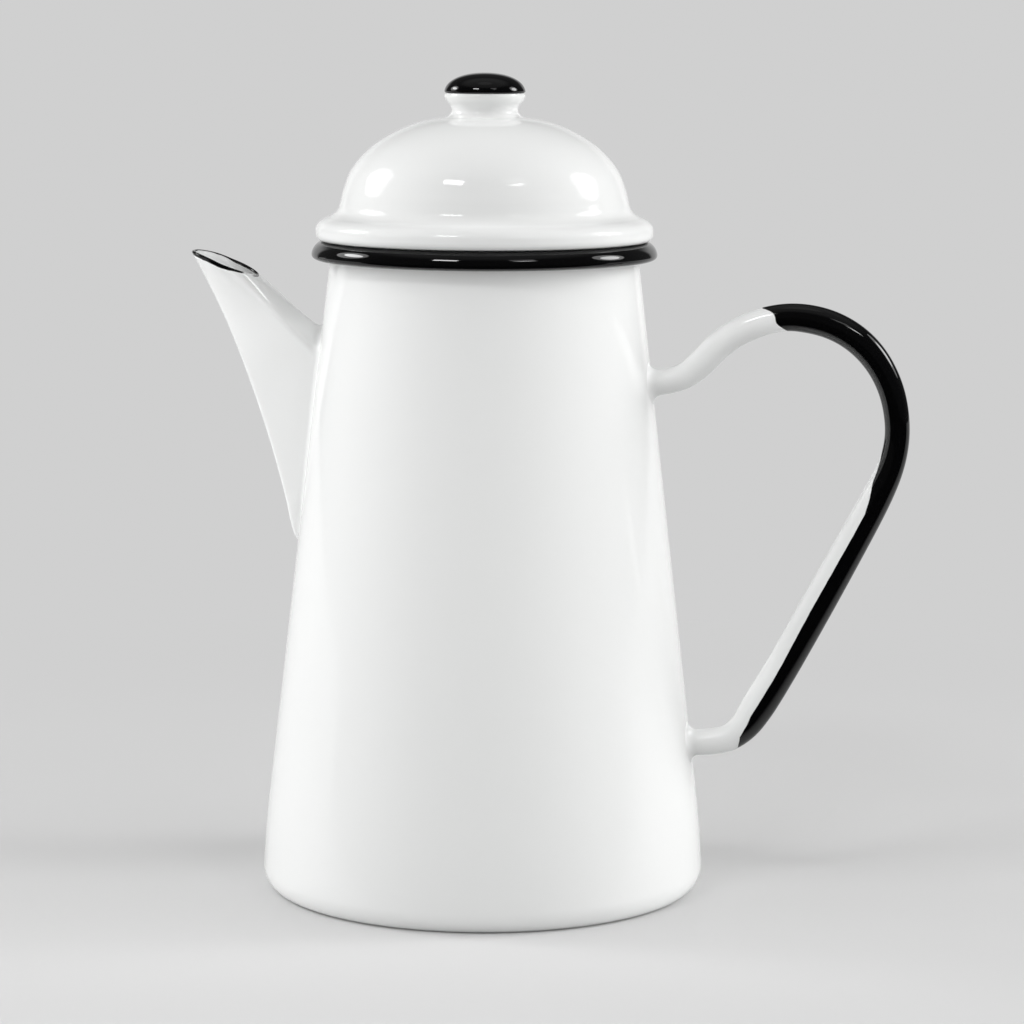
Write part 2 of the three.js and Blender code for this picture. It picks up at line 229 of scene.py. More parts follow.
class Enamel(FinishTree):
    """White or black enamel, or white with black where a mask says.

    Each noise is given by its size in metres, its layers and its seed.
    """

    cloud_size = 0.035
    cloud_layers = 3.0
    haze = 0.03
    haze_noise = (0.035, 2.0, 5.0)
    ripple_noise = (0.009, 1.0, 3.0)
    ripple_height = 0.000012
    sag_noise = (0.03, 1.0, 7.0)
    sag_height = 0.00006
    glass_index = 1.5
    coat_edge = 0.00004
    black_seed = 13.0

    def coat(self, coat: Coat, seed: float = 11.0) -> NodeSocket:
        """Colour of a coat with its faint clouds."""
        cloud = self.noise(self.cloud_size, self.cloud_layers, seed) + 0.5
        return self.mix(cloud, coat.colour, coat.shade)

    def glaze(self, colour: NodeSocket, gloss: float, edge: Value | float = 0.0) -> Material:
        """Joins colour and gloss with the unevenness of the glass.

        Args:
            colour: Colour of the surface.
            gloss: Its mean roughness.
            edge: Height of a second coat, in metres.

        Returns:
            The material.
        """
        ripple = self.noise(*self.ripple_noise) * self.ripple_height
        sag = self.noise(*self.sag_noise) * self.sag_height
        bump = self.add("ShaderNodeBump", {"Height": ripple + sag + edge, "Distance": 1.0})
        return self.dress({
            "Base Color": colour,
            "Roughness": self.noise(*self.haze_noise) * self.haze + gloss,
            "Normal": bump.outputs["Normal"],
            "IOR": self.glass_index,
        })

    def plain(self, coat: Coat) -> Material:
        """One coat all over."""
        return self.glaze(self.coat(coat), coat.roughness)

    def masked(self, white: NodeSocket, black: Value) -> Material:
        """A white surface with the black coat where the mask is 1."""
        colour = self.mix(black, white, self.coat(BLACK_COAT, self.black_seed))
        return self.glaze(colour, BLACK_COAT.roughness, black * self.coat_edge)


@dataclass(frozen=True)
class SteelFinish:
    """Plain drawn steel of wire, rivet and washer."""

    name: str = "drawn_steel"
    colour: Colour = (0.56, 0.57, 0.58, 1.0)
    tarnish: Colour = (0.34, 0.33, 0.32, 1.0)
    blotch: float = 0.0072
    grain: float = 0.0012
    roughness: float = 0.38
    unevenness: float = 0.2

    def material(self) -> Material:
        """Builds the material."""
        tree = FinishTree(self.name)
        return tree.dress({
            "Base Color": tree.mix(tree.noise(self.blotch, 4.0) + 0.5, self.colour, self.tarnish),
            "Metallic": 1.0,
            "Roughness": tree.noise(self.grain, 3.0) * self.unevenness + self.roughness,
        })


def curve_through(points: Line, per_span: int) -> Line:
    """A smooth curve through points.

    Args:
        points: Points that the curve passes through.
        per_span: Steps from each point to the next.

    Returns:
        Points along the curve, the given ones among them.
    """
    ends = [2 * points[0] - points[1], *points, 2 * points[-1] - points[-2]]
    curve = []
    for before, start, end, after in zip(ends, ends[1:], ends[2:], ends[3:]):
        knots = [0.0]
        for a, b in ((before, start), (start, end), (end, after)):
            knots.append(knots[-1] + math.sqrt(max((b - a).length, 1e-9)))
        span = knots[2] - knots[1]
        straight = (end - start) / span
        leave = (start - before) / knots[1] - (end - before) / knots[2] + straight
        reach = straight - (after - start) / (knots[3] - knots[1]) + (after - end) / (knots[3] - knots[2])
        for step in range(per_span):
            t = step / per_span
            share = 3 * t**2 - 2 * t**3
            bend = leave * (t**3 - 2 * t**2 + t) + reach * (t**3 - t**2)
            curve.append(start * (1 - share) + end * share + span * bend)
    return [*curve, points[-1].copy()]


def corners(*pairs: Pair) -> Line:
    """Corners of a profile, from pairs of radius and height."""
    return [Vector(pair) for pair in pairs]


def outline(*pairs: Pair, per_span: int = 6) -> Line:
    """A smooth profile through pairs of radius and height."""
    return curve_through(corners(*pairs), per_span)


def circle(steps: int) -> list[float]:
    """Angles round a ring."""
    return [math.tau * step / steps for step in range(steps)]


def arc(centre: Vector, radii: Pair, turn: Pair, steps: int, fullness: float = 2.0) -> Line:
    """Points of an arc in a profile.

    Args:
        centre: Radius and height of its centre.
        radii: Half widths along radius and height.
        turn: First and last angle, in degrees.
        steps: Number of steps.
        fullness: 2 for an ellipse, less for a pointed arc, more for a full one.

    Returns:
        The points, both ends among them.
    """
    points = []
    for step in range(steps + 1):
        angle = math.radians(turn[0] + (turn[1] - turn[0]) * step / steps)
        ways = zip(radii, (math.cos(angle), math.sin(angle)))
        points.append(centre + Vector([r * math.copysign(abs(w) ** (2 / fullness), w) for r, w in ways]))
    return points


class Bench:
    """Steps of modelling that the pieces share, done with Blender's own operators."""

    weld = 1e-7
    smooth_angle = math.radians(50)

    @staticmethod
    def clear() -> None:
        """Leaves edit mode and selects nothing."""
        if bpy.context.mode != "OBJECT":
            bpy.ops.object.mode_set(mode="OBJECT")
        bpy.context.scene.tool_settings.mesh_select_mode = (True, False, False)
        bpy.ops.object.select_all(action="DESELECT")

    @staticmethod
    def edit() -> None:
        """Enters edit mode with all of the mesh selected."""
        bpy.ops.object.mode_set(mode="EDIT")
        bpy.ops.mesh.select_all(action="SELECT")

    @classmethod
    def close(cls, name: str) -> Object:
        """Welds the mesh in edit mode, points its faces out and smooths it.

        Args:
            name: Name of the piece.

        Returns:
            The piece, in object mode.
        """
        bpy.ops.mesh.select_all(action="SELECT")
        bpy.ops.mesh.remove_doubles(threshold=cls.weld)
        bpy.ops.mesh.normals_make_consistent(inside=False)
        bpy.ops.object.mode_set(mode="OBJECT")
        bpy.ops.object.shade_smooth_by_angle(angle=cls.smooth_angle)
        bpy.context.object.name = name
        return bpy.context.object

    @classmethod
    def turn(cls, name: str, profile: Line, steps: int) -> Object:
        """Extrudes a point along a profile and spins the line round the pot's axis.

        Args:
            name: Name of the piece.
            profile: Closed profile of radius and height, or one that ends on the axis.
            steps: Steps round the axis.

        Returns:
            The piece.
        """
        cls.clear()
        bpy.ops.mesh.primitive_plane_add(size=cls.weld)
        cls.edit()
        bpy.ops.mesh.merge(type="CENTER")
        bpy.ops.transform.translate(value=(profile[0].x, 0, profile[0].y))
        for here, there in zip(profile, profile[1:]):
            move = (there.x - here.x, 0, there.y - here.y)
            bpy.ops.mesh.extrude_region_move(TRANSFORM_OT_translate={"value": move})
        bpy.ops.mesh.select_all(action="SELECT")
        bpy.ops.mesh.spin(steps=steps, angle=math.tau, center=(0, 0, 0), axis=(0, 0, 1))
        return cls.close(name)

    @classmethod
    def loft(cls, name: str, rings: list[Line], joined: bool) -> Object:
        """Extrudes a circle's edges ring by ring, each ring then placed point by point.

        Args:
            name: Name of the piece.
            rings: Rings of equal point counts.
            joined: Whether the last ring is bridged back to the first.

        Returns:
            The piece.
        """
        cls.clear()
        bpy.ops.mesh.primitive_circle_add(vertices=len(rings[0]), radius=1.0)
        cls.edit()
        mesh = bpy.context.object.data
        bm = bmesh.from_edit_mesh(mesh)
        bm.verts.ensure_lookup_table()
        for vertex, place in zip(bm.verts, rings[0]):
            vertex.co = place
        for before, ring in zip(rings, rings[1:]):
            bmesh.update_edit_mesh(mesh)
            bpy.ops.mesh.extrude_edges_move()
            places = {cls.key(place): target for place, target in zip(before, ring)}
            for vertex in bmesh.from_edit_mesh(mesh).verts:
                if vertex.select:
                    vertex.co = places[cls.key(vertex.co)]
        bmesh.update_edit_mesh(mesh)
        if joined:
            bpy.ops.mesh.select_all(action="DESELECT")
            bpy.ops.mesh.select_mode(type="EDGE")
            ends = {cls.key(place) for place in rings[0] + rings[-1]}
            for edge in bmesh.from_edit_mesh(mesh).edges:
                if edge.is_boundary and all(cls.key(end.co) in ends for end in edge.verts):
                    edge.select_set(True)
            bmesh.update_edit_mesh(mesh)
            bpy.ops.mesh.bridge_edge_loops()
        return cls.close(name)

    @classmethod
    def key(cls, place: Vector) -> tuple[int, ...]:
        """A place as whole tenths of a micrometre."""
        return tuple(round(coordinate / cls.weld) for coordinate in place)

    @classmethod
    def drill(cls, piece: Object, tool: Object) -> None:
        """Cuts a drill out of a piece and removes it.

        Args:
            piece: The piece that is drilled.
            tool: The drill, in the shape of the hole.
        """
        cls.clear()
        bpy.context.view_layer.objects.active = piece
        piece.select_set(True)
        hole = piece.modifiers.new("hole", "BOOLEAN")
        hole.operation, hole.solver, hole.object = "DIFFERENCE", "EXACT", tool
        bpy.ops.object.modifier_apply(modifier=hole.name)
        bpy.data.objects.remove(tool)

    @staticmethod
    def mark(piece: Object, name: str, levels: list[float]) -> None:
        """Stores a number on each point of a piece, in the order of its points."""
        attribute = piece.data.attributes.new(name, "FLOAT", "POINT")
        attribute.data.foreach_set("value", levels)


def finish_piece(piece: Object, material: Material, body: str, slot: Slot, *nodes: str) -> None:
    """Dresses a piece and ties it to the frame.

    Args:
        piece: The new piece.
        material: Its finish.
        body: Body that it moves with.
        slot: Record slot of its finish; not used.
        *nodes: CAD nodes that it stands for.
    """
    piece.data.materials.clear()
    piece.data.materials.append(material)
    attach(piece, body)
    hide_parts(*nodes)
    LOG.info("%s: %d faces", piece.name, len(piece.data.polygons))


@dataclass(frozen=True)
class PotBody:
    """The tapered wall with its rounded bottom, and the rolled rim on top.

    The recess line gives the underside's way down from its recess to the foot ring, as
    distance from the ring's inner edge and share of the recess.
    """

    base_radius: float = 0.0626
    widest_height: float = 0.006
    floor_radius: float = 0.0582
    cone_foot_radius: float = 0.0606
    cone_foot_height: float = 0.0294
    mouth_radius: float = 0.0431
    rim_height: float = 0.1803
    wall: float = 0.0012
    wall_top: float = 0.1786
    foot_ring: float = 0.0085
    foot_recess: float = 0.0007
    recess_line: tuple[Pair, ...] = ((-0.004, 1.0), (-0.002, 0.8), (0.0, 0.1), (0.001, 0.0))
    inner_corner: float = 0.005
    bead_reach: float = 0.04845
    bead_height: float = 0.1799
    bead_rise: float = 0.0037
    bead_drop: float = 0.0016
    bead_point: float = 1.75
    bead_belly: float = 2.5
    bead_seat: float = 0.00024
    hole_radius: float = 0.0015
    hole_pitch: float = 0.0048
    hole_top: float = 0.151
    hole_counts: tuple[int, ...] = (3, 2, 3, 2, 1)
    steps: int = 192

    def radius(self, height: float) -> float:
        """Outer radius of the wall.

        Args:
            height: Height above the floor.

        Returns:
            The radius there.
        """
        taper = (self.cone_foot_radius - self.mouth_radius) / (self.rim_height - self.cone_foot_height)
        if height >= self.cone_foot_height:
            return self.cone_foot_radius - taper * (height - self.cone_foot_height)
        span = self.cone_foot_height - self.widest_height
        bulge = self.base_radius - self.cone_foot_radius
        share = max(height - self.widest_height, 0.0) / span
        return self.base_radius - bulge * share ** (taper * span / bulge)

    def surface(self, across: float, height: float) -> Vector:
        """A point of the outer wall on the handle's side."""
        return Vector((math.sqrt(self.radius(height) ** 2 - across**2), across, height))

    def wall_line(self, low: float, high: float, inset: float, steps: int) -> Line:
        """The wall's profile between two heights, moved inwards by an inset."""
        heights = [low + (high - low) * step / steps for step in range(steps + 1)]
        return corners(*((self.radius(height) - inset, height) for height in heights))

    def profile(self) -> Line:
        """Profile of wall and bottom in one, from the axis under the bottom to the axis inside."""
        soft, edge = self.inner_corner, self.floor_radius - self.foot_ring
        heel = Vector((self.base_radius - self.wall - soft, self.wall + soft))
        below, above = corners((0, self.foot_recess), (0, self.wall))
        recess = [(edge + out, self.foot_recess * share) for out, share in self.recess_line]
        corner = (self.base_radius - self.floor_radius, self.widest_height)
        return [
            below,
            *outline(*recess, per_span=4),
            *arc(Vector((self.floor_radius, self.widest_height)), corner, (-90, 0), 24),
            *self.wall_line(self.widest_height, self.cone_foot_height, 0, 24)[1:],
            *self.wall_line(self.cone_foot_height, self.wall_top, 0, 12)[1:],
            *self.wall_line(heel.y, self.wall_top, self.wall, 16)[::-1],
            *arc(heel, (soft, soft), (0, -90), 10)[1:],
            above,
        ]

    def drill(self, wall: Object) -> None:
        """Cuts the strainer's staggered rows of holes through the wall behind the spout.

        Args:
            wall: The wall.
        """
        for row, count in enumerate(self.hole_counts):
            height = self.hole_top - row * self.hole_pitch * math.sin(math.pi / 3)
            for index in range(count):
                across = (index - (count - 1) / 2) * self.hole_pitch
                Bench.clear()
                bpy.ops.mesh.primitive_cylinder_add(
                    vertices=24, radius=self.hole_radius, depth=self.mouth_radius,
                    location=(-self.base_radius, across, height), rotation=(0, math.pi / 2, 0),
                )
                Bench.drill(wall, bpy.context.object)

    def bead_profile(self) -> Line:
        """Closed profile of the rolled rim, pointed above its widest line and full below."""
        inner, seat = self.mouth_radius - self.wall, self.bead_seat
        half = 0.5 * (self.bead_reach - inner)
        centre = Vector((inner + half, self.bead_height))
        foot = corners(
            (inner, self.wall_top),
            (inner + seat, self.wall_top - seat),
            (self.mouth_radius - seat, self.wall_top - seat),
            (self.mouth_radius, self.wall_top + seat),
        )
        return [
            *foot,
            *arc(centre, (half, self.bead_drop), (-80, 0), 16, self.bead_belly),
            *arc(centre, (half, self.bead_rise), (0, 90), 18, self.bead_point)[1:],
            *arc(centre, (half, self.bead_rise), (90, 180), 12)[1:],
            foot[0],
        ]

    def build(self, white: Material, black: Material) -> None:
        """Makes the wall and the rim.

        Args:
            white: Finish of the wall.
            black: Finish of the rim.
        """
        wall = Bench.turn("body_wall", self.profile(), self.steps)
        self.drill(wall)
        finish_piece(wall, white, "pot", Slot.WHITE, "body_shell", "base_pan")
        bead = Bench.turn("rolled_rim", self.bead_profile(), self.steps)
        finish_piece(bead, black, "pot", Slot.BLACK, "rim_bead")


class SpoutStation(NamedTuple):
    """One section of the spout.

    Kite is how kite-shaped it is, and shoulder how far from the roof its corner lies.
    """

    keel_out: float
    keel_up: float
    roof_out: float
    roof_up: float
    half_width: float
    kite: float
    shoulder: float

    def ends(self) -> tuple[Vector, Vector]:
        """Keel and roof, each as radius and height."""
        return Vector((self.keel_out, self.keel_up)), Vector((self.roof_out, self.roof_up))


SPOUT_STATIONS = tuple(SpoutStation(*sizes) for sizes in (
    (0.0840, 0.1797, 0.0652, 0.1733, 0.0090, 0.0, 0.0022),
    (0.0751, 0.1620, 0.0551, 0.1648, 0.0109, 0.75, 0.0032),
    (0.0682, 0.1450, 0.0467, 0.1581, 0.0113, 1.0, 0.0042),
    (0.0624, 0.1280, 0.0392, 0.1522, 0.0113, 1.0, 0.0052),
    (0.0575, 0.1106, 0.0355, 0.1493, 0.0104, 1.0, 0.0060),
    (0.05575, 0.1025, 0.0342, 0.1483, 0.0092, 1.0, 0.0062),
    (0.0535, 0.0974, 0.0327, 0.1471, 0.0074, 1.0, 0.0062),
    (0.0475, 0.0948, 0.0318, 0.1463, 0.0056, 1.0, 0.0062),
))


class RoundedKite:
    """Shares of keel, shoulder and roof round a section, as of a kite with rounded corners."""

    steps = 720
    corner = math.radians(112)
    blur = math.radians(15)
    taps = 24

    def __init__(self) -> None:
        """Works out the shares once, step by step round the section."""
        offsets = [self.blur * (2 * (tap + 0.5) / self.taps - 1) for tap in range(self.taps)]
        weights = [1 + math.cos(math.pi * offset / self.blur) for offset in offsets]
        total = sum(weights)
        self.table = []
        for step in range(self.steps + 1):
            shares = [self.sharp(math.tau * step / self.steps + offset) for offset in offsets]
            self.table.append([sum(w * s for w, s in zip(weights, part)) / total for part in zip(*shares)])

    def sharp(self, angle: float) -> tuple[float, ...]:
        """Shares on a kite with sharp corners.

        Args:
            angle: 0 at the keel to pi at the roof, or below 0 on the other side.

        Returns:
            Shares of keel, shoulder, roof and side.
        """
        turn = math.remainder(angle, math.tau)
        side = math.copysign(1.0, turn)
        if abs(turn) < self.corner:
            share = abs(turn) / self.corner
            return 1 - share, share, 0.0, side * share
        share = (abs(turn) - self.corner) / (math.pi - self.corner)
        return 0.0, 1 - share, share, side * (1 - share)

    def point(self, angle: float, shoulder: float) -> Pair:
        """A point of the section, stretched so that its ends reach the keel and the roof.

        Args:
            angle: 0 at the keel to pi at the roof.
            shoulder: Distance of the shoulder from the roof, as a share of the section.

        Returns:
            Place along the section, 1 at the keel and -1 at the roof, and its width there.
        """
        place = (angle % math.tau) / math.tau * self.steps
        step = min(int(place), self.steps - 1)
        t = place - step
        here = [a * (1 - t) + b * t for a, b in zip(self.table[step], self.table[step + 1])]
        ends = (self.table[0], self.table[self.steps // 2], here)
        keel, roof, along = (end[0] + end[1] * (2 * shoulder - 1) - end[2] for end in ends)
        return (2 * along - keel - roof) / (keel - roof), here[3]


KITE = RoundedKite()


@dataclass(frozen=True)
class Spout:
    """A wide beak with a rounded lip, flowing into the wall by a fillet.

    The black edge round the mouth is worn off where the share of the way from heel to tip
    lies in the bare span. The roof carries painted light, a paler coat that begins at the roof
    light depths under the line from the heel to the roof station.
    """

    pot: PotBody
    wall: float = 0.0009
    lip_bulge: float = 0.0006
    fillet: float = 0.0023
    longest_fillet: float = 0.006
    fillet_shares: tuple[float, ...] = (0.15, 0.3, 0.45, 0.6, 0.75, 0.9, 1.0)
    fillet_step: float = 0.002
    least_slope: float = 0.25
    flattest: float = 0.999
    halvings: int = 40
    probe: float = 0.02
    normal_probe: float = 0.001
    sink: float = 0.00004
    bore_overrun: float = 0.01
    lip_share: float = 0.02
    lip_turns: tuple[int, ...] = (30, 60, 90, 120, 150)
    lip_samples: int = 768
    trim_turn: float = math.radians(88.0)
    trim_near: float = 0.00115
    trim_far: float = 0.0007
    trim_blur: float = 0.00006
    trim_side: float = 0.003
    ragged_size: float = 0.004
    ragged_width: float = 0.0005
    bare: Pair = (0.01, 0.13)
    bare_blur: float = 0.02
    bare_side: Pair = (0.001, 0.002)
    roof_station: int = 4
    roof_light_depth: Pair = (0.0042, 0.0022)
    around: int = 96
    along: int = 56

    def section(self, u: float, angle: float) -> Vector:
        """A point of the outer skin.

        Args:
            u: 0 at the mouth to 1 inside the wall.
            angle: 0 at the keel to pi at the roof.

        Returns:
            The point.
        """
        last = len(SPOUT_STATIONS) - 1
        place = min(max(u, 0.0), 1.0) * last
        slot = min(int(place), last - 1)
        t = place - slot
        near = [SPOUT_STATIONS[min(max(slot + shift, 0), last)] for shift in (-1, 0, 1, 2)]
        weights = (
            (-t + 2 * t**2 - t**3) / 2, (2 - 5 * t**2 + 3 * t**3) / 2,
            (t + 4 * t**2 - 3 * t**3) / 2, (t**3 - t**2) / 2,
        )
        here = SpoutStation(*(sum(w * n for w, n in zip(weights, sizes)) for sizes in zip(*near)))
        keel, roof = here.ends()
        kite_along, kite_across = KITE.point(angle, here.shoulder / (keel - roof).length)
        along = (1 - here.kite) * math.cos(angle) + here.kite * kite_along
        across = (1 - here.kite) * math.sin(angle) + here.kite * kite_across
        middle = 0.5 * (keel + roof) + 0.5 * (keel - roof) * along
        bulge = self.lip_bulge * math.sin(angle) ** 2
        return Vector((-middle.x, here.half_width * across, middle.y + bulge))

    def normal(self, u: float, angle: float) -> Vector:
        """The outer skin's outward normal.

        Args:
            u: 0 at the mouth to 1 inside the wall.
            angle: 0 at the keel to pi at the roof.

        Returns:
            The normal.
        """
        step = self.normal_probe
        along = self.section(min(u + step, 1.0), angle) - self.section(max(u - step, 0.0), angle)
        round_it = self.section(u, angle + step) - self.section(u, angle - step)
        normal = along.cross(round_it).normalized()
        middle = 0.5 * (self.section(u, 0) + self.section(u, math.pi))
        return normal if normal.dot(self.section(u, angle) - middle) > 0 else -normal

    def inner(self, u: float, angle: float) -> Vector:
        """A point of the bore, square under a point of the outer skin."""
        return self.section(u, angle) - self.wall * self.normal(u, angle)

    def root(self, angle: float, skin: Callable[[float, float], Vector]) -> float:
        """The u at which a skin meets the wall.

        Args:
            angle: Angle round the section.
            skin: The method section for the outer skin, or inner for the bore.

        Returns:
            The last u outside the wall.
        """
        low, high = 0.0, 1.0
        for _ in range(self.halvings):
            middle = 0.5 * (low + high)
            place = skin(middle, angle)
            if math.hypot(place.x, place.y) > self.pot.radius(place.z):
                low = middle
            else:
                high = middle
        return low

    def on_wall(self, place: Vector) -> Vector:
        """The place moved radially onto the wall, sunk by a hair."""
        scale = (self.pot.radius(place.z) - self.sink) / math.hypot(place.x, place.y)
        return Vector((place.x * scale, place.y * scale, place.z))

    def fillet_curve(self, angle: float, root: float) -> tuple[float, Line]:
        """The fillet at one angle round the spout.

        Args:
            angle: Angle round the section.
            root: The u at which the skin meets the wall there.

        Returns:
            The u where the fillet leaves the skin, and its points from there down to the wall.
        """
        corner = self.section(root, angle)
        beside = (angle + self.probe, angle - self.probe)
        ahead, behind = (self.section(self.root(turn, self.section), turn) for turn in beside)
        tangent = (ahead - behind).normalized()
        down = tangent.cross(Vector((corner.x, corner.y, 0)).normalized()).normalized()
        if down.dot(corner - self.section(root, angle + math.pi)) < 0:
            down.negate()
        up_skin = (self.section(root - self.probe, angle) - corner).normalized()
        square = (up_skin - up_skin.dot(tangent) * tangent).normalized()
        opening = math.acos(max(min(square.dot(down), self.flattest), -self.flattest))
        length = min(self.fillet / math.tan(0.5 * opening), self.longest_fillet)
        on_skin = length / max(up_skin.dot(square), self.least_slope)
        start = root
        while start > 0 and (self.section(start, angle) - corner).length < on_skin:
            start -= self.fillet_step
        leave, land = self.section(start, angle), self.on_wall(corner + length * down)
        return start, [
            leave * (1 - share) ** 2 + corner * 2 * share * (1 - share) + land * share**2
            for share in self.fillet_shares
        ]

    def rings(self) -> list[Line]:
        """All rings: the fillet on the wall, the outer skin, the lip and the bore."""
        angles = circle(self.around)
        fillets = [self.fillet_curve(angle, self.root(angle, self.section)) for angle in angles]
        rings = [list(ring) for ring in zip(*(points for _, points in fillets))][::-1]
        for row in range(self.along + 1):
            share = 1 - row / self.along
            rings.append([
                self.section(self.lip_share + (start - self.lip_share) * share, angle)
                for angle, (start, _) in zip(angles, fillets)
            ])
        for turn in self.lip_turns:
            rings.append([self.lip_point(angle, math.radians(turn)) for angle in angles])
        return rings + self.bore_rings()

    def bore_rings(self) -> list[Line]:
        """Rings of the bore, from the lip into the pot's wall."""
        angles = circle(self.around)
        ends = [(angle, self.root(angle, self.inner) + self.bore_overrun) for angle in angles]
        return [
            [
                self.inner(self.lip_share + (end - self.lip_share) * row / self.along, angle)
                for angle, end in ends
            ]
            for row in range(self.along + 1)
        ]

    def lip_point(self, angle: float, turn: float) -> Vector:
        """A point of the rounded lip.

        Args:
            angle: Angle round the mouth.
            turn: 0 on the outer skin to pi on the bore.

        Returns:
            The point.
        """
        radius = 0.5 * self.wall
        mouth, out = self.section(0, angle), self.normal(0, angle)
        rise = (mouth - self.section(self.lip_share, angle)).normalized()
        return mouth + radius * ((math.cos(turn) - 1) * out + (math.sin(turn) - 1) * rise)

    def mark(self, spout: Object) -> None:
        """Stores each point's distance from the lip, and whether it is in the bore.

        Args:
            spout: The piece, whose mesh gets the attributes lip_distance and in_bore.
        """
        lip = KDTree(self.lip_samples)
        for index, angle in enumerate(circle(self.lip_samples)):
            lip.insert(self.lip_point(angle, self.trim_turn), index)
        lip.balance()
        bore = {Bench.key(place) for ring in self.bore_rings() for place in ring}
        places = [vertex.co for vertex in spout.data.vertices]
        Bench.mark(spout, "lip_distance", [lip.find(place)[2] for place in places])
        Bench.mark(spout, "in_bore", [float(Bench.key(place) in bore) for place in places])

    def finish(self) -> Material:
        """White enamel with a thin black edge round the mouth, worn off near the heel, and painted light:
        flank, roof and bore paler than the body's white.
        """
        tree = Enamel("enamel_spout")
        x, y, z = tree.split(tree.place())
        tip, heel = SPOUT_STATIONS[0].ends()
        share = (-x - heel.x) / (tip.x - heel.x)
        ragged = tree.noise(self.ragged_size, 2.0, 21.0) * self.ragged_width
        near = (-y).step(-self.trim_side, self.trim_side)
        limit = near * (self.trim_near - self.trim_far) + self.trim_far
        trim = (tree.attribute("lip_distance") + ragged - limit).step(self.trim_blur, -self.trim_blur)
        start, end, blur = *self.bare, self.bare_blur
        worn = share.step(start - blur, start + blur) * share.step(end + blur, end - blur)
        slope = (heel - SPOUT_STATIONS[self.roof_station].ends()[1]).normalized()
        below = (-x - heel.x) * slope.y - (z - heel.y) * slope.x
        # Painted light: flank, roof and bore take paler copies of the body's white, roof and bore palest.
        flank, roof, bore = (tree.coat(coat) for coat in (LIT_SPOUT_WHITE, LIT_ROOF_WHITE, LIT_BORE_WHITE))
        outer = tree.mix(below.step(*self.roof_light_depth), flank, roof)
        white = tree.mix(tree.attribute("in_bore"), outer, bore)
        return tree.masked(white, trim * (1.0 - worn * (-y).step(*self.bare_side)))

    def build(self) -> None:
        """Makes the spout."""
        spout = Bench.loft("beak_spout", self.rings(), True)
        self.mark(spout)
        finish_piece(spout, self.finish(), "pot", Slot.WHITE, "spout_shell")


# The handle's centre line from its upper end to its lower one: how far out and how far up each
# point lies, as shares of the loop, and the tube's depth there, as a share of its width.
HANDLE_LINE = (
    (-0.004, 1.003, 0.9), (0.0762, 1.0082, 0.881), (0.1531, 1.0275, 0.895), (0.2183, 1.0622, 0.943),
    (0.2806, 1.1028, 0.954), (0.3457, 1.1362, 0.954), (0.4169, 1.1616, 0.959), (0.4919, 1.1789, 0.946),
    (0.5688, 1.1878, 0.939), (0.6458, 1.1848, 0.97), (0.724, 1.1722, 0.974), (0.794, 1.1503, 0.968),
    (0.8566, 1.1191, 0.958), (0.9093, 1.0797, 0.934), (0.9506, 1.0341, 0.899), (0.9805, 0.9843, 0.876),
    (0.9985, 0.9293, 0.855), (1.004, 0.8757, 0.845), (0.995, 0.8221, 0.868), (0.9718, 0.7705, 0.935),
    (0.9381, 0.7211, 1.014), (0.9008, 0.6726, 1.055), (0.8593, 0.6224, 1.082), (0.8187, 0.5745, 1.094),
    (0.7767, 0.5267, 1.108), (0.7339, 0.479, 1.122), (0.6901, 0.4314, 1.134), (0.6455, 0.3837, 1.14),
    (0.5977, 0.334, 1.144), (0.5508, 0.2865, 1.147), (0.5033, 0.239, 1.144), (0.4532, 0.192, 1.153),
    (0.4011, 0.1454, 1.164), (0.3468, 0.0992, 1.145), (0.2853, 0.0523, 1.032), (0.2068, 0.0182, 0.938),
    (0.1119, 0.0042, 0.922), (0.015, 0, 0.89),
)

# Where the black coat's long edge runs: share of the way along the grip, and level across the tube.
GRIP_BORDER = (
    (0.0, 0.1), (0.480, 0.1), (0.488, 0.167), (0.510, 0.217), (0.534, 0.267), (0.559, 0.383),
    (0.578, 0.443), (0.735, 0.433), (0.833, 0.47), (0.902, 0.477), (0.922, 0.533), (0.934, 0.6),
    (0.943, 0.767), (0.949, 0.933), (1.0, 1.0),
)


